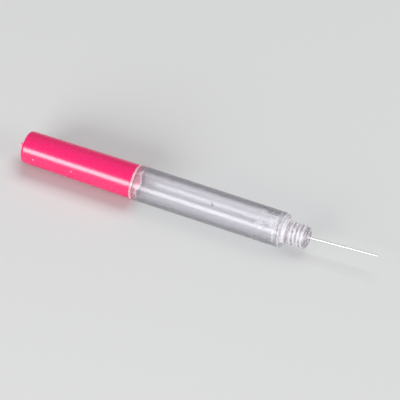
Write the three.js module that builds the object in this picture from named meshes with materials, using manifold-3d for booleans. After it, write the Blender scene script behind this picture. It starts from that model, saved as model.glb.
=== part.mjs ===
import * as THREE from 'three';
import { mergeVertices } from 'three/addons/utils/BufferGeometryUtils.js';
import Module from 'manifold-3d';

// Glue applicator bottle, lying on its side with its needle towards +X. Millimetres, +Z up.
// Stations along the bottle are measured from the plane where the parked cap's mouth
// meets the rear plug's flange. The whole model is moved at the end, so that the origin
// is under the middle of its length, on the surface it lies on.

const BARREL = { length: 44.85, radius: 5, bore: 3.95, shoulderRound: 0.3, roof: 1.2, innerRound: 0.9 };
const NECK = { length: 7.1, root: 3.07, bore: 1.8, rimLength: 0.55, rimDepth: 0.9 };
const COLLAR = { radius: 3.55, length: 1.05, fillet: 0.2 };
const THREAD = { pitch: 1.15, height: 0.33, start: 1.5, rowsPerTurn: 8 };
const FLANGE = { thickness: 0.7, edge: 0.15 };
const SPIGOT = { length: 0.6, radius: 3.88 };
const STUB = { length: 5, radius: 3.05, bore: 1.9, depth: 4.6, bevel: 0.35 };
const REAR_BOND = { length: 0.55, inner: 3.05, outer: 3.9 };
const PLUG = { length: 6.3, radius: 1.74, recess: 0.35, boreRadius: 0.27, bevel: 0.2 };
const NEEDLE = { outer: 0.205, inner: 0.1, exposed: 20.3, facets: 16, crossing: 1.75 };
// The needle leans off the bottle's axis. Their lines cross a little past the shoulder.
const NEEDLE_TILT = THREE.MathUtils.degToRad(3.1);
const NEEDLE_LEAN = { y: 0.773, z: 0.634 };
const BEAD = { radius: 0.62, height: 0.55, lift: 0.08, clearance: 0.04 };
const CAP = { length: 33, mouth: 4.9, end: 4.6, wall: 1.3, edgeRound: 0.9, dome: 0.9, bevel: 0.2 };
const CAP_BORE = { lead: 3.85, root: 3.5, end: 3.3, thread: 2.9, start: 1.4, runout: 0.2, bevel: 0.6 };
const GATE_NUB = { radius: 0.75, tip: 0.5, height: 1.4 };
// Gaps between pieces that touch: the parked cap and the flange, and the cemented pieces.
const CAP_GAP = 0.05;
const SEAT_GAP = 0.02;

// Every round piece is a prism with one flat facing straight down. Radii are to the flats.
const FACETS = 32;
const HALF_FACET = Math.PI / FACETS;
const CORNER = 1 / Math.cos(HALF_FACET);

const SHOULDER_X = BARREL.length;
const NECK_END_X = SHOULDER_X + NECK.length;
const NECK_THREAD_X = SHOULDER_X + THREAD.start;
const NEEDLE_TIP_X = NECK_END_X + NEEDLE.exposed;
const PLUG_FRONT_X = NECK_END_X - PLUG.recess;
const PLUG_REAR_X = PLUG_FRONT_X - PLUG.length;
const CAP_END_X = -CAP_GAP - CAP.length;
const CAP_TIP_X = CAP_END_X - CAP.dome - GATE_NUB.height;

const wasm = await Module();
wasm.setup();

/** A profile point at station x along the bottle and radius r to the flats. */
const at = (x, r) => new THREE.Vector2(r * CORNER, x);

/** Points of a round or oval arc in the profile, round (x, r), at angles from +X towards +r. */
function arc(x, r, radius, from, to, steps, depth = radius) {
  const points = [];
  for (let i = 0; i <= steps; i++) {
    const angle = THREE.MathUtils.degToRad(from + ((to - from) * i) / steps);
    points.push(at(x + radius * Math.cos(angle), r + depth * Math.sin(angle)));
  }
  return points;
}

/** Turns a profile about the X axis. It runs towards +X outside and back towards -X inside. */
function turned(points, facets = FACETS) {
  const geometry = new THREE.LatheGeometry(points, facets, HALF_FACET);
  geometry.rotateZ(-Math.PI / 2);
  geometry.deleteAttribute('normal');
  geometry.deleteAttribute('uv');
  return mergeVertices(geometry, 1e-4);
}

/** The same, for a profile that closes on itself. */
const turnedRing = (points, facets) => turned([...points, points[0]], facets);

/** Profile points at even steps along a stretch that will carry a thread. */
function threadRows(start, end, radius) {
  const rows = Math.round((Math.abs(end - start) / THREAD.pitch) * THREAD.rowsPerTurn);
  return Array.from({ length: rows + 1 }, (_, i) => at(start + ((end - start) * i) / rows, radius));
}

/** Height of a right-hand thread's ridge, from 0 at its root to 1 at its crest. */
function ridge(x, angle, start, end) {
  const turn = (x - start) / THREAD.pitch - angle / (2 * Math.PI);
  const wave = 0.5 - 0.5 * Math.cos(2 * Math.PI * turn);
  const fadeIn = THREE.MathUtils.smoothstep(x, start, start + THREAD.pitch * 0.5);
  const fadeOut = 1 - THREE.MathUtils.smoothstep(x, end - THREAD.pitch * 0.3, end);
  return wave * fadeIn * fadeOut;
}

/** Raises a thread on the rows at one radius. A negative height points at the axis. */
function raiseThread(geometry, radius, start, end, height) {
  const position = geometry.getAttribute('position');
  for (let i = 0; i < position.count; i++) {
    const x = position.getX(i);
    const y = position.getY(i);
    const z = position.getZ(i);
    const onRows = Math.abs(Math.hypot(y, z) - radius * CORNER) < 1e-3;
    if (!onRows || x < start || x > end) continue;
    const scale = 1 + (height * ridge(x, Math.atan2(z, y), start, end)) / radius;
    position.setY(i, y * scale);
    position.setZ(i, z * scale);
  }
  return geometry;
}

/** A closed geometry as a solid that can be cut. */
function solid(geometry) {
  const bare = geometry.clone();
  bare.deleteAttribute('normal');
  bare.deleteAttribute('uv');
  const merged = mergeVertices(bare, 1e-4);
  const mesh = new wasm.Mesh({
    numProp: 3,
    vertProperties: new Float32Array(merged.getAttribute('position').array),
    triVerts: new Uint32Array(merged.getIndex().array),
  });
  return new wasm.Manifold(mesh);
}

/** A solid back as a geometry. */
function geometryOf(manifold) {
  const mesh = manifold.getMesh();
  const geometry = new THREE.BufferGeometry();
  geometry.setAttribute('position', new THREE.BufferAttribute(mesh.vertProperties, 3));
  geometry.setIndex(new THREE.BufferAttribute(mesh.triVerts, 1));
  return geometry;
}

function piece(name, geometry, material) {
  geometry.computeVertexNormals();
  const mesh = new THREE.Mesh(geometry, material);
  mesh.name = name;
  return mesh;
}

/** Puts a piece made along +X on the needle's own line, at a distance from its crossing point. */
function onNeedleLine(mesh, distance) {
  const across = Math.sin(NEEDLE_TILT);
  const lean = new THREE.Vector3(Math.cos(NEEDLE_TILT), across * NEEDLE_LEAN.y, across * NEEDLE_LEAN.z);
  const direction = lean.normalize();
  mesh.quaternion.setFromUnitVectors(new THREE.Vector3(1, 0, 0), direction);
  mesh.position.set(SHOULDER_X + NEEDLE.crossing, 0, 0).addScaledVector(direction, distance);
  return mesh;
}

const MATERIALS = {
  clear: new THREE.MeshStandardMaterial({ color: 0xdfe3e8, roughness: 0.08, metalness: 0 }),
  cement: new THREE.MeshStandardMaterial({ color: 0xf3e3e3, roughness: 0.35, metalness: 0 }),
  steel: new THREE.MeshStandardMaterial({ color: 0xb9bcc0, roughness: 0.25, metalness: 1 }),
  adhesive: new THREE.MeshStandardMaterial({ color: 0xf2f0ea, roughness: 0.1, metalness: 0 }),
  pink: new THREE.MeshStandardMaterial({ color: 0xfb3f77, roughness: 0.3, metalness: 0 }),
};

/** Clear tube, shoulder and threaded neck, moulded in one piece and open at the rear. */
function barrel() {
  const rear = FLANGE.thickness;
  const round = BARREL.shoulderRound;
  const threadEnd = NECK_END_X - NECK.rimLength;
  const boreEnd = SHOULDER_X - BARREL.roof;
  const corner = BARREL.innerRound;
  const points = [
    at(rear, BARREL.radius),
    ...arc(SHOULDER_X - round, BARREL.radius - round, round, 90, 0, 4),
    at(SHOULDER_X, COLLAR.radius + COLLAR.fillet),
    at(SHOULDER_X + COLLAR.fillet, COLLAR.radius),
    at(SHOULDER_X + COLLAR.length, COLLAR.radius),
    ...threadRows(NECK_THREAD_X, threadEnd, NECK.root),
    ...arc(threadEnd, NECK.root - NECK.rimDepth, NECK.rimLength, 65, 0, 3, NECK.rimDepth),
    at(NECK_END_X, NECK.bore),
    at(boreEnd, NECK.bore),
    ...arc(boreEnd - corner, BARREL.bore - corner, corner, 0, 90, 4),
    at(rear, BARREL.bore),
  ];
  const body = turnedRing(points);
  raiseThread(body, NECK.root, NECK_THREAD_X, threadEnd, THREAD.height);
  return piece('bottle_barrel', body, MATERIALS.clear);
}

/** Stopper cemented into the tube, with a hollow stub behind it for the parked cap. */
function rearPlug() {
  const points = [
    at(STUB.depth - STUB.length, 0),
    at(STUB.depth - STUB.length, STUB.bore),
    at(-STUB.length, STUB.bore),
    at(-STUB.length, STUB.radius - STUB.bevel),
    at(STUB.bevel - STUB.length, STUB.radius),
    at(0, STUB.radius),
    at(0, BARREL.radius - FLANGE.edge),
    at(FLANGE.edge, BARREL.radius),
    at(FLANGE.thickness - SEAT_GAP, BARREL.radius),
    at(FLANGE.thickness - SEAT_GAP, SPIGOT.radius),
    at(FLANGE.thickness + SPIGOT.length, SPIGOT.radius),
    at(FLANGE.thickness + SPIGOT.length, 0),
  ];
  return piece('rear_plug', turned(points), MATERIALS.clear);
}

/** Fillet of cement in the corner between the spigot's face and the tube's wall. */
function rearBond() {
  const start = FLANGE.thickness + SPIGOT.length + SEAT_GAP;
  const points = [
    at(start, REAR_BOND.inner),
    at(start, REAR_BOND.outer),
    at(start + REAR_BOND.length, REAR_BOND.outer),
    at(start + REAR_BOND.length * 0.3, REAR_BOND.inner + 0.35),
  ];
  return piece('rear_bond', turnedRing(points), MATERIALS.cement);
}

/** Push-in plug that closes the neck and holds the needle in a slanted bore. */
function needlePlug() {
  const blank = turned([
    at(PLUG_REAR_X, 0),
    at(PLUG_REAR_X, PLUG.radius - PLUG.bevel),
    at(PLUG_REAR_X + PLUG.bevel, PLUG.radius),
    at(PLUG_FRONT_X, PLUG.radius),
    at(PLUG_FRONT_X, 0),
  ]);
  const reach = PLUG.length * 2;
  const drill = new THREE.CylinderGeometry(PLUG.boreRadius, PLUG.boreRadius, reach, NEEDLE.facets);
  drill.rotateZ(-Math.PI / 2);
  const guide = onNeedleLine(new THREE.Mesh(drill), 0);
  guide.updateMatrix();
  drill.applyMatrix4(guide.matrix);
  const cut = solid(blank).subtract(solid(drill));
  return piece('needle_plug', geometryOf(cut), MATERIALS.clear);
}

/** Hollow blunt needle, flush with the plug's rear face. */
function needle() {
  const pivotX = SHOULDER_X + NEEDLE.crossing;
  const rear = (PLUG_REAR_X - pivotX) / Math.cos(NEEDLE_TILT);
  const length = (NEEDLE_TIP_X - pivotX) / Math.cos(NEEDLE_TILT) - rear;
  const points = [
    at(0, NEEDLE.inner),
    at(0, NEEDLE.outer),
    at(length, NEEDLE.outer),
    at(length, NEEDLE.inner),
  ];
  const tube = turnedRing(points, NEEDLE.facets);
  return onNeedleLine(piece('needle_tube', tube, MATERIALS.steel), rear);
}

/** Bead of adhesive round the needle, just clear of the plug's face. */
function needleBond() {
  const inner = NEEDLE.outer + BEAD.clearance;
  const points = [at(0, inner), at(0, BEAD.radius)];
  points.push(at(BEAD.height * 0.35, BEAD.radius * 0.88));
  points.push(at(BEAD.height * 0.7, BEAD.radius * 0.62));
  points.push(at(BEAD.height, inner + 0.04));
  points.push(at(BEAD.height, inner));
  const bead = turnedRing(points, NEEDLE.facets);
  const root = (PLUG_FRONT_X - SHOULDER_X - NEEDLE.crossing) / Math.cos(NEEDLE_TILT);
  return onNeedleLine(piece('needle_bond', bead, MATERIALS.adhesive), root + BEAD.lift);
}

/** Needle cap, tapered for moulding, with a thread inside its mouth and a gate nub on its end. */
function cap() {
  const round = CAP.edgeRound;
  const tipX = CAP_END_X - CAP.dome;
  const boreEnd = tipX + CAP.wall;
  const threadStart = -CAP_GAP - CAP_BORE.start - CAP_BORE.thread;
  const threadEnd = -CAP_GAP - CAP_BORE.start;
  const points = [
    at(tipX - GATE_NUB.height, 0),
    at(tipX - GATE_NUB.height, GATE_NUB.tip),
    at(tipX, GATE_NUB.radius),
    at(tipX + 0.12, CAP.end * 0.3),
    at(CAP_END_X - CAP.dome * 0.5, CAP.end * 0.58),
    ...arc(CAP_END_X + round * 0.7, CAP.end - round, round, 150, 90, 4),
    at(-CAP_GAP - CAP.bevel, CAP.mouth),
    at(-CAP_GAP, CAP.mouth - CAP.bevel),
    at(-CAP_GAP, CAP_BORE.lead),
    at(threadEnd + CAP_BORE.runout, CAP_BORE.root),
    ...threadRows(threadEnd, threadStart, CAP_BORE.root),
    at(boreEnd + CAP_BORE.bevel, CAP_BORE.end),
    at(boreEnd, CAP_BORE.end - CAP_BORE.bevel),
    at(boreEnd, 0),
  ];
  const shell = turned(points);
  raiseThread(shell, CAP_BORE.root, threadStart, threadEnd, -THREAD.height);
  return piece('cap_shell', shell, MATERIALS.pink);
}

const bottle = new THREE.Group();
bottle.add(barrel(), rearPlug(), rearBond(), needlePlug(), needle(), needleBond(), cap());
bottle.position.set(-(CAP_TIP_X + NEEDLE_TIP_X) / 2, 0, BARREL.radius);

const model = new THREE.Group();
model.add(bottle);

export default model;
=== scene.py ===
"""Looks of the glue applicator bottle: a clear tube on its side, its needle and its pink cap."""

import math

import bmesh
import bpy
from mathutils import Matrix, Vector, noise


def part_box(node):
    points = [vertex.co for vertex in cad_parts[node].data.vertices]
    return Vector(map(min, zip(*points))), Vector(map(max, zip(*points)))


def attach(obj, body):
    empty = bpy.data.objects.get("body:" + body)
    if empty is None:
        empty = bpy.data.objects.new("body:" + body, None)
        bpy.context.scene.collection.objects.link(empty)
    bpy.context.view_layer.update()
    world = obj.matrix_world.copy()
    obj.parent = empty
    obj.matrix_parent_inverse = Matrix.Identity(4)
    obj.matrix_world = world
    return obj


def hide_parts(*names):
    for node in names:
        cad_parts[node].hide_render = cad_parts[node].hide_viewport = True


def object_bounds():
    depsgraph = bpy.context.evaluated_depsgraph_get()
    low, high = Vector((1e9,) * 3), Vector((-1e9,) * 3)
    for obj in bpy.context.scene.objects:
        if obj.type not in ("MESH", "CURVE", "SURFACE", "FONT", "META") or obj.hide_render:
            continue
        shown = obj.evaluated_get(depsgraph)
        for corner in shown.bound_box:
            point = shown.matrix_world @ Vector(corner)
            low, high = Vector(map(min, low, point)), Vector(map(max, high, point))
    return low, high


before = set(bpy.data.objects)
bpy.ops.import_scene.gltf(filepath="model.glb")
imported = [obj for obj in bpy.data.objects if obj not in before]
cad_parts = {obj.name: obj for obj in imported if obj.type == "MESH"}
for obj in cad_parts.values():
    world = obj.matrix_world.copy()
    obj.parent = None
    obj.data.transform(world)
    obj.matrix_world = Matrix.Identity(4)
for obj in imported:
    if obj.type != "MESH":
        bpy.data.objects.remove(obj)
CAD_LOW, CAD_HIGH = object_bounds()

MM = 0.001
TOLERANCE = 1e-9
SEGMENTS = 144

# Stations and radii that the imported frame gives.
BARREL_LOW, BARREL_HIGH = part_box("bottle_barrel")
STOPPER_LOW, STOPPER_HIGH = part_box("rear_plug")
CAP_LOW, CAP_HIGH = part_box("cap_shell")
NEEDLE_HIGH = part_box("needle_tube")[1]
PLUG_LOW, PLUG_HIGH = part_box("needle_plug")
AXIS_Z = (BARREL_LOW[2] + BARREL_HIGH[2]) / 2
TUBE_RADIUS = (BARREL_HIGH[2] - BARREL_LOW[2]) / 2
REAR_X, NECK_END_X = BARREL_LOW[0], BARREL_HIGH[0]

# Shape details, as in the CAD model.
NECK_LENGTH = 7.1 * MM
SHOULDER_X = NECK_END_X - NECK_LENGTH
BORE_RADIUS, ROOF, INNER_ROUND = 3.95 * MM, 1.2 * MM, 0.9 * MM
NECK_ROOT, NECK_BORE = 3.07 * MM, 1.8 * MM
COLLAR_RADIUS, COLLAR_LENGTH, COLLAR_FILLET = 3.55 * MM, 1.05 * MM, 0.2 * MM
RIM_LENGTH, RIM_DEPTH = 0.55 * MM, 0.9 * MM
THREAD_START, THREAD_PITCH, THREAD_HEIGHT = 1.5 * MM, 1.15 * MM, 0.33 * MM
SPIGOT_RADIUS = 3.88 * MM
STUB_RADIUS, STUB_LENGTH, STUB_BEVEL = 3.05 * MM, 5 * MM, 0.35 * MM
STUB_BORE, STUB_DEPTH = 1.9 * MM, 4.6 * MM
FLANGE_X = STOPPER_LOW[0] + STUB_LENGTH
FRONT_ANGLE = math.radians(130)
NEEDLE_RADIUS, NEEDLE_BORE = 0.205 * MM, 0.1 * MM
NEEDLE_TILT = math.radians(3.1)
NEEDLE_LEAN = Vector((0, 0.773, 0.634))
NEEDLE_CROSSING_X = SHOULDER_X + 1.75 * MM


# ---------------------------------------------------------------- mesh helpers


def arc(x, r, radius, start, end, steps=8, depth=None):
    """Profile points of a round or oval arc round (x, r), at angles in degrees from +X to +r."""
    angles = [math.radians(start + (end - start) * i / steps) for i in range(steps + 1)]
    depth = depth or radius
    return [(x + radius * math.cos(a), r + depth * math.sin(a)) for a in angles]


def stretch(start, end, steps):
    """Profile points along a straight line, both ends included."""
    points = []
    for i in range(steps + 1):
        t = i / steps
        points.append((start[0] + (end[0] - start[0]) * t, start[1] + (end[1] - start[1]) * t))
    return points


def smoothstep(low, high, value):
    """0 at low and beyond it, 1 at high and beyond it, with a smooth ramp between them."""
    t = min(max((value - low) / (high - low), 0), 1)
    return t * t * (3 - 2 * t)


def point_round_axis(x, r, angle):
    """The point at station x and distance r from the bottle's axis, at an angle round it from +Y."""
    return Vector((x, r * math.cos(angle), AXIS_Z + r * math.sin(angle)))


def add_mesh(name, bm, sharp=40):
    """A shown object from a bmesh, smooth-shaded but for edges that turn by more than sharp degrees."""
    bmesh.ops.recalc_face_normals(bm, faces=bm.faces)
    for face in bm.faces:
        face.smooth = True
    mesh = bpy.data.meshes.new(name)
    bm.to_mesh(mesh)
    bm.free()
    mesh.set_sharp_from_angle(angle=math.radians(sharp))
    obj = bpy.data.objects.new(name, mesh)
    bpy.context.scene.collection.objects.link(obj)
    return obj


def turn(name, sections, ring=False, segments=SEGMENTS, shape=None, sharp=40):
    """Turns a profile of (x, r) about the bottle's axis.

    The profile comes in sections of (material slot, points), where a section's slot also covers
    the step to the next one. A ring's profile closes on itself; any other starts and ends on the
    axis. shape(x, r, angle) gives the bent (x, r).
    """
    bm = bmesh.new()
    rows = []
    profile = [point for _, points in sections for point in points]
    slots = [slot for slot, points in sections for _ in points]
    for x, r in profile:
        if r == 0:
            rows.append([bm.verts.new((x, 0, AXIS_Z))] * segments)
            continue
        row = []
        for i in range(segments):
            angle = 2 * math.pi * i / segments
            bent_x, bent_r = shape(x, r, angle) if shape else (x, r)
            row.append(bm.verts.new(point_round_axis(bent_x, bent_r, angle)))
        rows.append(row)
    pairs = list(zip(rows, rows[1:]))
    if ring:
        pairs.append((rows[-1], rows[0]))
    for index, (near, far) in enumerate(pairs):
        for i in range(segments):
            j = (i + 1) % segments
            corners = [near[i], near[j], far[j], far[i]]
            face = bm.faces.new(list(dict.fromkeys(corners)))
            face.material_index = slots[index]
    return add_mesh(name, bm, sharp)


def needle_direction():
    """Unit vector along the needle, which leans off the bottle's axis."""
    along = Vector((math.cos(NEEDLE_TILT), 0, 0))
    return (along + math.sin(NEEDLE_TILT) * NEEDLE_LEAN).normalized()


def onto_needle(obj):
    """Moves a mesh made on the bottle's axis, with x 0 at the crossing, onto the needle's line."""
    turn_by = Vector((1, 0, 0)).rotation_difference(needle_direction())
    crossing = Vector((NEEDLE_CROSSING_X, 0, AXIS_Z))
    to_origin = Matrix.Translation((0, 0, -AXIS_Z))
    obj.data.transform(Matrix.Translation(crossing) @ turn_by.to_matrix().to_4x4() @ to_origin)
    return obj


def thread(x, angle, start, end):
    """Height of a right-hand thread's ridge, from 0 at its root to 1 at its crest."""
    wave = 0.5 - 0.5 * math.cos(2 * math.pi * ((x - start) / THREAD_PITCH - angle / (2 * math.pi)))
    run_in = smoothstep(start, start + 0.5 * THREAD_PITCH, x)
    return wave * run_in * (1 - smoothstep(end - 0.3 * THREAD_PITCH, end, x))


# ---------------------------------------------------------------- material helpers


class Shader:
    """A material's node tree, with short calls for the few kinds of node used here."""

    def __init__(self, name):
        self.material = bpy.data.materials.new(name)
        self.material.use_nodes = True
        self.tree = self.material.node_tree
        self.surface = self.tree.nodes["Principled BSDF"]
        self.output = self.tree.nodes["Material Output"]
        self.coordinates = self.tree.nodes.new("ShaderNodeTexCoord").outputs["Object"]

    def node(self, kind, **values):
        """A new node, with some of its settings."""
        made = self.tree.nodes.new(kind)
        for key, value in values.items():
            setattr(made, key, value)
        return made

    def join(self, source, target):
        self.tree.links.new(source, target)

    def set(self, **values):
        """Sets inputs of the surface, named with _ for each space."""
        for key, value in values.items():
            self.surface.inputs[key.replace("_", " ")].default_value = value

    def base(self, source):
        self.join(source, self.surface.inputs["Base Color"])

    def roughness(self, source):
        self.join(source, self.surface.inputs["Roughness"])

    def transmission(self, source):
        self.join(source, self.surface.inputs["Transmission Weight"])

    def scaled(self, scale):
        """The piece's own coordinates, stretched by a scale along each axis."""
        mapping = self.node("ShaderNodeMapping")
        mapping.inputs["Scale"].default_value = scale
        self.join(self.coordinates, mapping.inputs["Vector"])
        return mapping.outputs["Vector"]

    def noise(self, scale, detail=3, roughness=0.5):
        """Noise over the piece, with a repeat scale along each axis."""
        made = self.node("ShaderNodeTexNoise")
        made.inputs["Scale"].default_value = 1
        made.inputs["Detail"].default_value = detail
        made.inputs["Roughness"].default_value = roughness
        self.join(self.scaled(scale), made.inputs["Vector"])
        return made.outputs["Fac"]

    def ranged(self, value, low, high, to_low, to_high):
        """A value carried smoothly from one range to another, and held at its ends."""
        made = self.node("ShaderNodeMapRange", interpolation_type="SMOOTHSTEP")
        made.inputs["From Min"].default_value = low
        made.inputs["From Max"].default_value = high
        made.inputs["To Min"].default_value = to_low
        made.inputs["To Max"].default_value = to_high
        self.join(value, made.inputs["Value"])
        return made.outputs["Result"]

    def maths(self, operation, a, b):
        """The result for two values, each a number or another node's output."""
        made = self.node("ShaderNodeMath", operation=operation)
        for socket, value in zip(made.inputs, (a, b)):
            if isinstance(value, (int, float)):
                socket.default_value = value
            else:
                self.join(value, socket)
        return made.outputs["Value"]

    def blend(self, factor, first, second):
        """A mix of two colours, each a tuple or another node's output."""
        made = self.node("ShaderNodeMix", data_type="RGBA")
        self.join(factor, made.inputs["Factor"])
        for socket, value in ((made.inputs["A"], first), (made.inputs["B"], second)):
            if isinstance(value, tuple):
                socket.default_value = value
            else:
                self.join(value, socket)
        return made.outputs["Result"]

    def along(self):
        """Station of a point of the surface along the bottle."""
        made = self.node("ShaderNodeSeparateXYZ")
        self.join(self.coordinates, made.inputs["Vector"])
        return made.outputs["X"]

    def off_axis(self):
        """Distance of a point of the surface from the bottle's axis."""
        moved = self.node("ShaderNodeVectorMath", operation="SUBTRACT")
        self.join(self.coordinates, moved.inputs[0])
        moved.inputs[1].default_value = (0, 0, AXIS_Z)
        across = self.node("ShaderNodeVectorMath", operation="MULTIPLY")
        self.join(moved.outputs["Vector"], across.inputs[0])
        across.inputs[1].default_value = (0, 1, 1)
        length = self.node("ShaderNodeVectorMath", operation="LENGTH")
        self.join(across.outputs["Vector"], length.inputs[0])
        return length.outputs["Value"]

    def frontness(self):
        """0 on the far side of the bottle, 1 on the side that faces the front."""
        made = self.node("ShaderNodeVectorMath", operation="DOT_PRODUCT")
        self.join(self.coordinates, made.inputs[0])
        made.inputs[1].default_value = (0, math.cos(FRONT_ANGLE), math.sin(FRONT_ANGLE))
        middle = AXIS_Z * math.sin(FRONT_ANGLE)
        return self.ranged(made.outputs["Value"], middle - 1 * MM, middle + 1.5 * MM, 0, 1)

    def edge_on(self):
        """0 where a clear wall is seen square on, 1 where it is seen edge on, where it looks thick and
        where the tube's outside gets its painted edge shade.
        """
        made = self.node("ShaderNodeLayerWeight")
        made.inputs["Blend"].default_value = 0.5
        return self.ranged(made.outputs["Facing"], 0.08, 0.6, 0, 1)

    def near(self, point, reach):
        """1 at a point of the piece, fading to 0 at a distance from it."""
        made = self.node("ShaderNodeVectorMath", operation="DISTANCE")
        self.join(self.coordinates, made.inputs[0])
        made.inputs[1].default_value = point
        return self.ranged(made.outputs["Value"], 0.4 * reach, reach, 1, 0)

    def bump(self, height, distance):
        """Raises the surface's shading by a height from 0 to 1 times a distance."""
        made = self.node("ShaderNodeBump")
        made.inputs["Distance"].default_value = distance
        made.inputs["Strength"].default_value = 1
        self.join(height, made.inputs["Height"])
        self.join(made.outputs["Normal"], self.surface.inputs["Normal"])

    def let_light_through(self, tint):
        """Lets light reach what is behind clear plastic, so that it casts a pale shadow."""
        rays = self.node("ShaderNodeLightPath").outputs
        clear = self.node("ShaderNodeBsdfTransparent")
        clear.inputs["Color"].default_value = tint
        mix = self.node("ShaderNodeMixShader")
        lighting = self.maths("MAXIMUM", rays["Is Shadow Ray"], rays["Is Diffuse Ray"])
        self.join(lighting, mix.inputs["Fac"])
        self.join(self.surface.outputs["BSDF"], mix.inputs[1])
        self.join(clear.outputs["BSDF"], mix.inputs[2])
        self.join(mix.outputs["Shader"], self.output.inputs["Surface"])


def colour(red, green, blue):
    """An opaque colour, in the form that a socket takes."""
    return (red, green, blue, 1)


def per_mm(x, y, z):
    """A texture scale given in repeats for each millimetre."""
    return (x / MM, y / MM, z / MM)


# ---------------------------------------------------------------- materials


def clear_outside_painted_edges():
    """Polished clear plastic with faint scratches along it; its colour darkens where the wall is seen
    edge on, partly the thick wall's own tint and partly painted shade for its dark edges, less so where
    cement backs it.
    """
    s = Shader("clear_outside_painted_edges")
    s.set(IOR=1.5, Transmission_Weight=0.9)
    s.set(Specular_IOR_Level=0.28, Specular_Tint=colour(0.6, 0.6, 0.62))
    unbonded = s.ranged(s.along(), REAR_X + 0.6 * MM, REAR_X + 1.8 * MM, 0.25, 1)
    # Painted shade: the base colour goes dark where the wall is seen edge on, partly the thick wall's
    # own tint.
    edge = s.maths("MULTIPLY", s.edge_on(), unbonded)
    s.base(s.blend(edge, colour(0.8, 0.785, 0.825), colour(0.27, 0.26, 0.29)))
    scratches = s.noise(per_mm(0.08, 5, 5), 4, 0.7)
    s.roughness(s.ranged(scratches, 0.4, 0.8, 0.14, 0.24))
    ripple = s.noise(per_mm(0.06, 0.35, 0.35), 2)
    s.bump(s.maths("ADD", ripple, s.maths("MULTIPLY", scratches, 0.03)), 0.02 * MM)
    s.let_light_through(colour(0.93, 0.935, 0.94))
    return s.material


def clear_inside():
    """The bore's wall, which clouds where dried glue clings behind the shoulder."""
    s = Shader("clear_inside")
    s.set(IOR=1.5, Specular_IOR_Level=0.12, Specular_Tint=colour(0.4, 0.4, 0.42))
    blotches = s.noise(per_mm(0.35, 0.45, 0.45), 5, 0.6)
    region = s.ranged(s.along(), SHOULDER_X - 11 * MM, SHOULDER_X - 4 * MM, 0, 1)
    cloud = s.maths("MULTIPLY", s.ranged(blotches, 0.48, 0.66, 0, 1), region)
    s.roughness(s.maths("ADD", s.maths("MULTIPLY", cloud, 0.25), 0.2))
    s.transmission(s.ranged(cloud, 0, 1, 1, 0.6))
    s.base(s.blend(cloud, colour(0.93, 0.92, 0.945), colour(0.93, 0.93, 0.96)))
    s.bump(s.noise(per_mm(0.12, 0.5, 0.5), 3), 0.03 * MM)
    s.let_light_through(colour(0.95, 0.955, 0.96))
    return s.material


def cemented_joint():
    """Faces that cement has joined, where light passes straight from one piece into the other."""
    s = Shader("cemented_joint")
    film = s.node("ShaderNodeBsdfTransparent")
    haze = s.ranged(s.noise(per_mm(2, 2, 2)), 0.3, 0.7, 0, 1)
    s.join(s.blend(haze, colour(0.97, 0.95, 0.95), colour(0.88, 0.84, 0.85)), film.inputs["Color"])
    s.join(film.outputs["BSDF"], s.output.inputs["Surface"])
    return s.material


def moulded_shoulder():
    """The flat shoulder, which the mould left satin and slightly white."""
    s = Shader("moulded_shoulder")
    s.set(IOR=1.5)
    frost = s.noise(per_mm(1.2, 1.2, 1.2), 4, 0.6)
    s.base(s.blend(frost, colour(0.98, 0.96, 0.98), colour(0.8, 0.78, 0.82)))
    s.transmission(s.ranged(frost, 0.3, 0.7, 0.35, 0.7))
    s.roughness(s.ranged(frost, 0.3, 0.7, 0.1, 0.3))
    s.bump(frost, 0.06 * MM)
    s.let_light_through(colour(0.9, 0.9, 0.92))
    return s.material


def moulded_neck_painted_shade():
    """Collar, thread and rim: hazy from the mould, with painted shade in the thread's roots, painted
    light on its crests and pale streaks painted in as glints.
    """
    s = Shader("moulded_neck_painted_shade")
    s.set(IOR=1.5)
    # Painted light and shade: crests are coloured near white and roots dark grey, by their distance from
    # the axis.
    crest = s.ranged(s.off_axis(), NECK_ROOT, NECK_ROOT + 0.9 * THREAD_HEIGHT, 0, 1)
    grain = s.noise(per_mm(2.5, 2.5, 2.5), 3, 0.6)
    # The flutes bump the surface and also paint pale streaks that stand in for glints on the thread's
    # flanks.
    flutes_and_painted_glints = s.ranged(s.noise(per_mm(3.2, 0.5, 0.5), 2), 0.42, 0.58, 0, 1)
    painted_thread_shade = s.blend(crest, colour(0.36, 0.31, 0.35), colour(1.0, 0.97, 1.0))
    s.base(s.blend(s.maths("MULTIPLY", flutes_and_painted_glints, 0.6), painted_thread_shade, colour(0.9, 0.86, 0.9)))
    s.transmission(s.ranged(grain, 0.35, 0.65, 0.65, 0.35))
    s.roughness(s.ranged(grain, 0.3, 0.7, 0.05, 0.18))
    s.bump(s.maths("ADD", grain, flutes_and_painted_glints), 0.1 * MM)
    s.let_light_through(colour(0.9, 0.89, 0.91))
    return s.material


def flange_painted_pink_light():
    """Flange of the plug, hazy, with pink painted in for the pink cap's light shining through it from
    behind.
    """
    s = Shader("flange_painted_pink_light")
    s.set(IOR=1.5)
    haze = s.noise(per_mm(0.8, 1.5, 1.5), 4, 0.6)
    s.transmission(s.ranged(haze, 0.35, 0.65, 0.45, 0.15))
    s.roughness(s.ranged(haze, 0.3, 0.7, 0.08, 0.25))
    # Painted light: the pink base colour stands in for the cap's pink light coming through the flange.
    s.base(s.blend(haze, colour(0.88, 0.32, 0.43), colour(1.0, 0.64, 0.72)))
    s.bump(haze, 0.04 * MM)
    s.let_light_through(colour(0.85, 0.75, 0.78))
    return s.material


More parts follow.
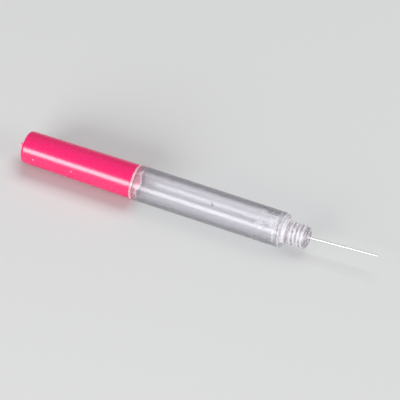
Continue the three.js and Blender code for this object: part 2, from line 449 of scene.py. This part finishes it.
def spigot_face():
    """Front face of the plug inside the tube, dulled by cement."""
    s = Shader("spigot_face")
    s.set(IOR=1.5)
    haze = s.noise(per_mm(0.7, 0.7, 0.7), 4, 0.6)
    s.transmission(s.ranged(haze, 0.35, 0.65, 0.5, 0.2))
    s.roughness(s.ranged(haze, 0.3, 0.7, 0.2, 0.4))
    s.base(s.blend(haze, colour(0.5, 0.42, 0.46), colour(0.72, 0.62, 0.67)))
    s.bump(haze, 0.05 * MM)
    s.let_light_through(colour(0.85, 0.82, 0.84))
    return s.material


def plug_face():
    """Sunken face of the needle's plug: mottled dark grey, cloudier and rougher in patches."""
    s = Shader("plug_face")
    s.set(IOR=1.5)
    dark_mottle = s.noise(per_mm(1.5, 1.5, 1.5), 4, 0.6)
    s.transmission(s.ranged(dark_mottle, 0.35, 0.65, 0.5, 0.2))
    s.roughness(s.ranged(dark_mottle, 0.3, 0.7, 0.15, 0.4))
    s.base(s.blend(dark_mottle, colour(0.22, 0.19, 0.22), colour(0.5, 0.46, 0.5)))
    s.bump(dark_mottle, 0.05 * MM)
    s.let_light_through(colour(0.85, 0.84, 0.86))
    return s.material


def speck_painted_light_and_shade():
    """Speck of dried glue, painted white on one side as a highlight and near black round it as its
    shadow.
    """
    s = Shader("speck_painted_light_and_shade")
    s.set(IOR=1.5, Transmission_Weight=0.05)
    cloud = s.noise(per_mm(4, 4, 4))
    # Painted light and shade: a white lit side and a near-black shaded rim.
    painted_lit_side = s.near(glue_speck_centre() - Vector((0.16, 0, 0)) * MM, 0.36 * MM)
    s.base(s.blend(painted_lit_side, colour(0.03, 0.03, 0.035), colour(1.0, 1.0, 0.98)))
    s.roughness(s.ranged(cloud, 0.3, 0.7, 0.15, 0.35))
    s.bump(cloud, 0.03 * MM)
    return s.material


def clear_plug():
    """Clear plug plastic, less polished than the tube."""
    s = Shader("clear_plug")
    s.set(Base_Color=colour(0.9, 0.9, 0.915), IOR=1.45, Transmission_Weight=0.7)
    s.roughness(s.ranged(s.noise(per_mm(1.5, 1.5, 1.5)), 0.35, 0.7, 0.12, 0.26))
    s.bump(s.noise(per_mm(0.8, 0.8, 0.8), 2), 0.015 * MM)
    s.let_light_through(colour(0.92, 0.92, 0.93))
    return s.material


def milky_cement_painted_pink():
    """Thin film of dried cement: milky at the front, where pink is painted in for the cap's pink light
    glowing through it, and clear on the far side.
    """
    s = Shader("milky_cement_painted_pink")
    s.set(IOR=1.48)
    cloud = s.noise(per_mm(0.8, 2.2, 2.2), 4, 0.6)
    front = s.frontness()
    milk = s.maths("MULTIPLY", front, s.ranged(cloud, 0.35, 0.65, 0.45, 0.8))
    s.transmission(s.maths("SUBTRACT", 1, milk))
    s.roughness(s.ranged(cloud, 0.3, 0.7, 0.1, 0.35))
    # Painted light: a pink glow on the front side, standing in for the pink cap's light.
    painted_pink_glow = s.blend(cloud, colour(0.66, 0.2, 0.3), colour(0.92, 0.44, 0.54))
    s.base(s.blend(front, colour(0.94, 0.92, 0.94), painted_pink_glow))
    s.bump(cloud, 0.08 * MM)
    s.let_light_through(colour(0.85, 0.8, 0.8))
    return s.material


def cement_bead():
    """Thick pale edge of the cement."""
    s = Shader("cement_bead")
    s.set(IOR=1.48)
    cloud = s.noise(per_mm(1.5, 1.5, 1.5), 4)
    s.transmission(s.ranged(cloud, 0.35, 0.65, 0.35, 0.15))
    s.roughness(s.ranged(cloud, 0.3, 0.7, 0.08, 0.3))
    s.base(s.blend(cloud, colour(0.95, 0.82, 0.83), colour(0.9, 0.7, 0.72)))
    s.bump(cloud, 0.06 * MM)
    s.let_light_through(colour(0.85, 0.8, 0.8))
    return s.material


def cured_adhesive():
    """Clear adhesive with a soft skin."""
    s = Shader("cured_adhesive")
    s.set(Base_Color=colour(1.0, 0.99, 0.98), IOR=1.52, Transmission_Weight=0.35)
    s.roughness(s.ranged(s.noise(per_mm(3, 3, 3)), 0.3, 0.7, 0.04, 0.18))
    s.bump(s.noise(per_mm(2, 2, 2), 2), 0.05 * MM)
    return s.material


def needle_steel():
    """Drawn stainless steel, with its grain along the tube."""
    s = Shader("needle_steel")
    s.set(Metallic=1.0)
    grain = s.noise(per_mm(0.15, 30, 30), 4, 0.7)
    stain = s.noise(per_mm(0.4, 2, 2), 3)
    s.roughness(s.ranged(grain, 0.3, 0.7, 0.34, 0.44))
    s.base(s.blend(stain, colour(0.92, 0.92, 0.93), colour(0.84, 0.84, 0.84)))
    s.bump(grain, 0.004 * MM)
    return s.material


def pink_plastic():
    """Bright pink moulded plastic: flow marks, scuffs, pale specks and a whitened gate nub."""
    s = Shader("pink_plastic")
    s.set(Subsurface_Weight=0.12, Subsurface_Scale=0.6 * MM, Specular_IOR_Level=0.9)
    s.surface.inputs["Subsurface Radius"].default_value = (1.0, 0.35, 0.45)
    flow = s.noise(per_mm(0.05, 0.3, 0.3), 3)
    scuffs = s.ranged(s.noise(per_mm(0.7, 3, 3), 5, 0.7), 0.56, 0.72, 0, 1)
    pink = s.blend(flow, colour(0.78, 0.007, 0.125), colour(0.83, 0.012, 0.15))
    scuffed = s.blend(s.maths("MULTIPLY", scuffs, 0.05), pink, colour(1.0, 0.35, 0.5))
    whitened = s.ranged(s.along(), CAP_LOW[0] + 0.1 * MM, CAP_LOW[0] + 1.5 * MM, 0.75, 0)
    with_nub = s.blend(whitened, scuffed, colour(0.98, 0.55, 0.66))
    specks = s.maths("MAXIMUM", *[s.near(point, 0.24 * MM) for point in cap_speck_places()])
    s.base(s.blend(specks, with_nub, colour(1.0, 0.75, 0.78)))
    grain = s.noise(per_mm(1.2, 6, 6), 3, 0.6)
    s.roughness(s.maths("ADD", s.ranged(grain, 0.3, 0.7, 0.22, 0.28), s.maths("MULTIPLY", scuffs, 0.06)))
    marks = s.maths("ADD", s.maths("MULTIPLY", flow, 0.3), s.maths("MULTIPLY", grain, 0.008))
    s.bump(s.maths("ADD", marks, s.maths("MULTIPLY", specks, 0.2)), 0.12 * MM)
    return s.material


def pale_floor():
    """Matt grey paper, very slightly mottled."""
    s = Shader("pale_floor")
    s.set(Roughness=1.0, Specular_IOR_Level=0.0)
    tone = s.noise((3, 3, 3), 2)
    s.base(s.blend(tone, colour(0.63, 0.63, 0.625), colour(0.66, 0.66, 0.655)))
    return s.material


# ---------------------------------------------------------------- pieces


def finish_piece(obj, body, node, slot, *materials):
    """Gives a piece its materials and its body, and hides the CAD node it stands for; slot, the name of
    its finish, is not used.
    """
    for material in materials:
        obj.data.materials.append(material)
    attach(obj, body)
    if node:
        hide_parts(node)
    return obj


def barrel():
    """Clear tube, shoulder and threaded neck, its bore uneven where dried glue clings."""
    corner, mouth = 0.3 * MM, 0.06 * MM
    thread_start, thread_end = SHOULDER_X + THREAD_START, NECK_END_X - RIM_LENGTH
    roof_x = SHOULDER_X - ROOF
    collar_end = SHOULDER_X + COLLAR_LENGTH
    step_length, step_depth = thread_start - collar_end, COLLAR_RADIUS - NECK_ROOT
    spigot_end = STOPPER_HIGH[0]
    fillet_x, fillet_r = SHOULDER_X + COLLAR_FILLET, COLLAR_RADIUS + COLLAR_FILLET
    tube = [
        (REAR_X, TUBE_RADIUS - mouth),
        (REAR_X + mouth, TUBE_RADIUS),
        *stretch((REAR_X + 0.5 * MM, TUBE_RADIUS), (SHOULDER_X - 3 * corner, TUBE_RADIUS), 60),
    ]
    shoulder = [
        *arc(SHOULDER_X - corner, TUBE_RADIUS - corner, corner, 90, 0),
        (SHOULDER_X, TUBE_RADIUS - 2 * corner),
        (SHOULDER_X, fillet_r + 0.1 * MM),
    ]
    neck = [
        *arc(fillet_x, fillet_r, COLLAR_FILLET, 180, 270, 5),
        *stretch((fillet_x + 0.1 * MM, COLLAR_RADIUS), (collar_end, COLLAR_RADIUS), 3),
        *arc(thread_start, COLLAR_RADIUS, step_length, 190, 265, 5, step_depth),
        *stretch((thread_start + 0.01 * MM, NECK_ROOT), (thread_end, NECK_ROOT), 130),
        *arc(thread_end, NECK_ROOT - RIM_DEPTH, RIM_LENGTH, 84, 0, 12, RIM_DEPTH),
        (NECK_END_X, NECK_BORE + 0.1 * MM),
    ]
    bore = [
        (NECK_END_X - 0.1 * MM, NECK_BORE),
        (roof_x + 0.1 * MM, NECK_BORE),
    ]
    roof = [
        (roof_x, NECK_BORE + 0.1 * MM),
        *arc(roof_x - INNER_ROUND, BORE_RADIUS - INNER_ROUND, INNER_ROUND, 0, 85, 10),
    ]
    wall = stretch((roof_x - INNER_ROUND - 0.1 * MM, BORE_RADIUS), (spigot_end, BORE_RADIUS), 90)
    cemented = [(spigot_end - 0.05 * MM, BORE_RADIUS), (REAR_X, BORE_RADIUS)]

    def shape(x, r, angle):
        """Raises the thread on the neck and the dried glue on the bore's wall."""
        if x > thread_start and abs(r - NECK_ROOT) < TOLERANCE:
            r += THREAD_HEIGHT * thread(x, angle, thread_start, thread_end)
        elif spigot_end < x < roof_x - 0.05 * MM and r < BORE_RADIUS + TOLERANCE:
            place = Vector((x * 0.3, r * math.cos(angle), r * math.sin(angle))) / (1.6 * MM)
            clinging = smoothstep(SHOULDER_X - 12 * MM, SHOULDER_X - 3 * MM, x)
            lumps = 0.5 + 0.5 * noise.fractal(place, 0.8, 2.0, 3)
            away = smoothstep(BORE_RADIUS - INNER_ROUND, BORE_RADIUS, r)
            r -= (0.01 + 0.2 * clinging) * MM * lumps * away
        return x, r

    sections = [(0, tube), (3, shoulder), (4, neck), (1, bore), (3, roof), (1, wall), (2, cemented)]
    obj = turn("bottle_barrel_clear", sections, ring=True, shape=shape)
    smooth = (clear_outside_painted_edges(), clear_inside(), cemented_joint())
    moulded = (moulded_shoulder(), moulded_neck_painted_shade())
    return finish_piece(obj, "bottle", "bottle_barrel", "clear_plastic", *smooth, *moulded)


def stopper():
    """Rear plug: its flange, the short spigot in the tube and the hollow stub in the cap."""
    face_x = STOPPER_HIGH[0]
    corner, edge = 0.3 * MM, 0.08 * MM
    stub_end = FLANGE_X - STUB_LENGTH
    seat_x = REAR_X - 0.01 * MM
    behind = [
        (stub_end + STUB_DEPTH, 0),
        (stub_end + STUB_DEPTH, STUB_BORE - corner),
        (stub_end + STUB_DEPTH - corner, STUB_BORE),
        (stub_end, STUB_BORE),
        *arc(stub_end + STUB_BEVEL, STUB_RADIUS - STUB_BEVEL, STUB_BEVEL, 180, 90, 6),
        (FLANGE_X - 0.1 * MM, STUB_RADIUS),
        (FLANGE_X, STUB_RADIUS + 0.1 * MM),
    ]
    flange = [
        *arc(FLANGE_X + edge, TUBE_RADIUS - edge, edge, 180, 90, 6),
        (seat_x - 0.05 * MM, TUBE_RADIUS),
        (seat_x, TUBE_RADIUS - 0.05 * MM),
    ]
    spigot = [(seat_x, SPIGOT_RADIUS)]
    face = [
        (face_x - 0.1 * MM, SPIGOT_RADIUS),
        (face_x, SPIGOT_RADIUS - 0.1 * MM),
        (face_x, 0),
    ]
    obj = turn("rear_plug_clear", [(0, behind), (1, flange), (2, spigot), (3, face)])
    materials = (clear_plug(), flange_painted_pink_light(), milky_cement_painted_pink(), spigot_face())
    return finish_piece(obj, "bottle", "rear_plug", "plug_plastic", *materials)


def cement_ring():
    """Cement that crept along the wall in uneven scallops, with a thick bead along their edge."""
    start = STOPPER_HIGH[0] + 0.02 * MM
    wall = BORE_RADIUS + 0.03 * MM
    bead_length = 0.3 * MM

    def reach(angle):
        """Length of the film at an angle: five scallops, the largest at the front."""
        away = angle - FRONT_ANGLE
        facing = math.cos(away)
        height = 0.15 + 0.3 * smoothstep(-0.6, 0, facing) + 0.75 * max(facing, 0) ** 6
        return (0.15 + height * abs(math.cos(2.5 * away)) ** 0.5) * MM

    def shape(x, r, angle):
        """Scales the film and then the bead, each drawn 1 mm long, to their real lengths."""
        along = (x - start) / MM
        if along > 1:
            return start + reach(angle) + (along - 1) * bead_length, r
        return start + along * reach(angle), r

    film = [
        (start, 3.1 * MM),
        (start, wall),
        *stretch((start + 0.25 * MM, wall), (start + 1 * MM, wall), 4),
    ]
    bead = [
        (start + 1.1 * MM, wall),
        (start + 1.7 * MM, wall),
        (start + 2 * MM, wall - 0.12 * MM),
        (start + 1.95 * MM, wall - 0.3 * MM),
        (start + 1.5 * MM, wall - 0.42 * MM),
        (start + 1.05 * MM, wall - 0.3 * MM),
    ]
    inner = [
        (start + 0.98 * MM, wall - 0.16 * MM),
        (start + 0.6 * MM, wall - 0.18 * MM),
        (start + 0.25 * MM, wall - 0.4 * MM),
    ]
    sections = [(0, film), (1, bead), (0, inner)]
    obj = turn("cement_ring_milky", sections, ring=True, shape=shape, sharp=60)
    return finish_piece(obj, "bottle", "rear_bond", "cement", milky_cement_painted_pink(), cement_bead())


def neck_plug():
    """Plug that carries the needle, with a slanted bore and a slight sink in its face."""
    front, rear = PLUG_HIGH[0], PLUG_LOW[0]
    radius = PLUG_HIGH[2] - AXIS_Z
    hole = NEEDLE_RADIUS + 0.03 * MM
    rear_edge, front_edge = 0.2 * MM, 0.12 * MM
    body = [
        (rear, hole),
        *arc(rear + rear_edge, radius - rear_edge, rear_edge, 180, 90, 5),
        *arc(front - front_edge, radius - front_edge, front_edge, 90, 0, 5),
    ]
    face = [
        (front - 0.02 * MM, radius * 0.7),
        (front - 0.1 * MM, radius * 0.45),
    ]
    rim = [(front - front_edge, hole)]
    sections = [(0, body), (1, face), (0, rim)]
    obj = turn("needle_plug_clear", sections, ring=True, segments=96)
    lean_bore(obj, hole)
    return finish_piece(obj, "needle_unit", "needle_plug", "plug_plastic", clear_plug(), plug_face())


def lean_bore(obj, hole):
    """Moves the rims of a plug's bore across, so that the bore runs along the needle's line."""
    direction = needle_direction()
    for vertex in obj.data.vertices:
        away = math.hypot(vertex.co.y, vertex.co.z - AXIS_Z)
        if away < hole * 1.01:
            distance = (vertex.co.x - NEEDLE_CROSSING_X) / direction.x
            vertex.co.y += direction.y * distance
            vertex.co.z += direction.z * distance


def needle():
    """Hollow steel needle with a deburred, blunt tip."""
    direction = needle_direction()
    rear = (PLUG_LOW[0] - NEEDLE_CROSSING_X) / direction.x
    tip = (NEEDLE_HIGH[0] - 0.02 * MM - NEEDLE_CROSSING_X) / direction.x
    lip = 0.04 * MM
    profile = [
        (rear, NEEDLE_BORE),
        (rear, NEEDLE_RADIUS),
        *stretch((rear + 0.1 * MM, NEEDLE_RADIUS), (tip - lip, NEEDLE_RADIUS), 60),
        *arc(tip - lip, NEEDLE_RADIUS - lip, lip, 75, 0, 4),
        (tip, NEEDLE_BORE + 0.01 * MM),
        (tip - 0.02 * MM, NEEDLE_BORE),
    ]
    obj = turn("needle_tube_steel", [(0, profile)], ring=True, segments=32)
    return finish_piece(onto_needle(obj), "needle_unit", "needle_tube", "needle_steel", needle_steel())


def adhesive_bead():
    """Lopsided bead of adhesive that climbs the needle's root."""
    root = (PLUG_HIGH[0] - NEEDLE_CROSSING_X) / needle_direction().x
    inner = NEEDLE_RADIUS + 0.004 * MM

    def shape(x, r, angle):
        """Makes the bead lopsided, except where it grips the needle."""
        if r > inner * 1.5:
            r *= 1 + 0.13 * math.cos(angle - 1.0) + 0.06 * math.cos(3 * angle)
        return x, r

    profile = [
        (root + 0.03 * MM, inner),
        (root + 0.03 * MM, 0.66 * MM),
        (root + 0.1 * MM, 0.68 * MM),
        (root + 0.22 * MM, 0.6 * MM),
        (root + 0.34 * MM, 0.46 * MM),
        (root + 0.46 * MM, 0.34 * MM),
        (root + 0.62 * MM, 0.26 * MM),
        (root + 0.8 * MM, inner + 0.01 * MM),
    ]
    obj = turn("needle_bond_bead", [(0, profile)], ring=True, segments=64, shape=shape, sharp=60)
    return finish_piece(onto_needle(obj), "needle_unit", "needle_bond", "adhesive", cured_adhesive())


def cap():
    """Pink cap: tapered wall, domed end with its torn gate nub, and the thread inside its mouth."""
    mouth_x, tip_x = CAP_HIGH[0], CAP_LOW[0]
    mouth_radius, end_radius = 4.9 * MM, 4.6 * MM
    nub, nub_tip, nub_height = 0.75 * MM, 0.5 * MM, 1.4 * MM
    dome, edge, lip = 0.9 * MM, 0.9 * MM, 0.1 * MM
    top_x = tip_x + nub_height
    edge_x = top_x + dome
    bore_end = top_x + 1.3 * MM
    thread_start, thread_end = mouth_x - 4.3 * MM, mouth_x - 1.4 * MM
    root = 3.5 * MM
    outside = [
        (tip_x, 0),
        (tip_x, nub_tip * 0.5),
        (tip_x + 0.05 * MM, nub_tip),
        *stretch((tip_x + 0.2 * MM, nub_tip + 0.03 * MM), (top_x - 0.25 * MM, nub), 6),
        (top_x - 0.06 * MM, nub * 1.15),
        (top_x + 0.03 * MM, nub * 1.5),
        (top_x + 0.12 * MM, end_radius * 0.36),
        (top_x + 0.25 * MM, end_radius * 0.5),
        (top_x + 0.42 * MM, end_radius * 0.63),
        *arc(edge_x + edge * 0.7, end_radius - edge, edge, 155, 92, 10),
        *stretch((edge_x + edge, end_radius + 0.01 * MM), (mouth_x - 0.3 * MM, mouth_radius), 70),
        *arc(mouth_x - lip, mouth_radius - lip, lip, 85, 0, 5),
    ]
    inside = [
        (mouth_x, 3.85 * MM),
        (thread_end + 0.2 * MM, root + 0.001 * MM),
        *stretch((thread_end, root), (thread_start, root), 56),
        (thread_start - 0.3 * MM, root + 0.001 * MM),
        (bore_end + 0.6 * MM, 3.3 * MM),
        (bore_end, 2.7 * MM),
        (bore_end, 0),
    ]

    def shape(x, r, angle):
        """Raises the thread inside the mouth and tears the end of the gate nub."""
        if abs(r - root) < TOLERANCE:
            r -= THREAD_HEIGHT * thread(x, angle, thread_start, thread_end)
        elif x < top_x - 0.3 * MM:
            torn = Vector((x / MM, math.cos(angle), math.sin(angle))) * 1.3
            r *= 1 + 0.22 * noise.noise(torn)
            x += 0.25 * MM * smoothstep(top_x, tip_x, x) * (1 + math.cos(angle - 0.8)) / 2
        return x, r

    obj = turn("cap_shell_pink", [(0, outside + inside)], shape=shape)
    return finish_piece(obj, "cap", "cap_shell", "pink_plastic", pink_plastic())


def cap_speck_places():
    """Two small pale specks on the side of the cap that faces the front."""
    places = []
    for distance, radius, angle in ((29.2, 4.6, 171.5), (17.5, 4.74, 168)):
        x = CAP_HIGH[0] - distance * MM
        places.append(point_round_axis(x, radius * MM, math.radians(angle)))
    return places


def glue_speck_centre():
    """Middle of the speck, on the tube's outer face and a little above its front."""
    x = CAP_HIGH[0] + 24.3 * MM
    return point_round_axis(x, TUBE_RADIUS + 0.03 * MM, FRONT_ANGLE - math.radians(7))


def glue_speck():
    """Small slanted speck of glue on the tube's outer face."""
    half_sizes = Vector((0.55, 0.26, 0.1)) * MM
    bm = bmesh.new()
    bmesh.ops.create_icosphere(bm, subdivisions=3, radius=1)
    for vertex in bm.verts:
        dent = 1 + 0.12 * noise.noise(vertex.co * 1.7)
        vertex.co = vertex.co * half_sizes * dent
    slant = Matrix.Rotation(math.radians(-65), 4, "Z")
    lie = Matrix.Rotation(FRONT_ANGLE - math.pi / 2, 4, "X") @ slant
    bmesh.ops.transform(bm, matrix=Matrix.Translation(glue_speck_centre()) @ lie, verts=bm.verts)
    obj = add_mesh("glue_speck", bm)
    return finish_piece(obj, "bottle", None, "adhesive", speck_painted_light_and_shade())


# ---------------------------------------------------------------- stage


def soft_lamp(name, direction, distance, size, power, glints=True):
    """A rectangular soft lamp that faces the bottle's middle, with or without highlights on it."""
    middle = Vector((0, 0, AXIS_Z))
    lamp = bpy.data.lights.new(name, "AREA")
    lamp.shape = "RECTANGLE"
    lamp.size, lamp.size_y = size
    lamp.energy = power
    obj = bpy.data.objects.new(name, lamp)
    towards = Vector(direction).normalized()
    obj.location = middle + towards * distance
    obj.rotation_mode = "QUATERNION"
    obj.rotation_quaternion = (-towards).to_track_quat("-Z", "Y")
    obj.visible_glossy = glints
    bpy.context.scene.collection.objects.link(obj)


def stage():
    """Pale floor, pale surroundings and three soft lamps."""
    bm = bmesh.new()
    bmesh.ops.create_grid(bm, x_segments=8, y_segments=8, size=3)
    floor = add_mesh("floor", bm)
    floor.location.z = CAD_LOW[2] - 0.02 * MM
    floor.data.materials.append(pale_floor())
    world = bpy.data.worlds.new("studio")
    bpy.context.scene.world = world
    world.use_nodes = True
    sky = world.node_tree.nodes["Background"]
    sky.inputs["Color"].default_value = colour(0.8, 0.82, 0.86)
    sky.inputs["Strength"].default_value = 0.3
    soft_lamp("key_window", (-0.276, -0.896, 0.34), 0.9, (0.7, 0.38), 8)
    soft_lamp("overhead", (0.1, 0.5, 1), 1.1, (0.9, 0.6), 7, glints=False)
    soft_lamp("side_fill", (0.9, -0.2, 0.4), 0.8, (0.3, 0.3), 1.5)
    bpy.context.scene.view_settings.view_transform = "Standard"


def camera():
    """Long lens from well above and from the needle's side, so that the bottle slopes to the right."""
    azimuth, elevation, distance = math.radians(24), math.radians(47.3), 1.4
    frame_width, sensor = 110.2 * MM, 36
    level = math.cos(elevation)
    back = Vector((math.sin(azimuth) * level, -math.cos(azimuth) * level, math.sin(elevation)))
    right = Vector((math.cos(azimuth), math.sin(azimuth), 0))
    aim = Vector((CAP_HIGH[0] + 19.55 * MM, 0, AXIS_Z)) + back.cross(right) * 0.8 * MM
    lens = bpy.data.cameras.new("camera")
    lens.sensor_width = sensor
    lens.lens = sensor * distance / frame_width
    lens.clip_start, lens.clip_end = 0.05, 20
    obj = bpy.data.objects.new("camera", lens)
    obj.location = aim + back * distance
    obj.rotation_mode = "QUATERNION"
    obj.rotation_quaternion = (-back).to_track_quat("-Z", "Y")
    bpy.context.scene.collection.objects.link(obj)
    bpy.context.scene.camera = obj


camera()
stage()
barrel()
stopper()
cement_ring()
neck_plug()
needle()
adhesive_bead()
cap()
glue_speck()
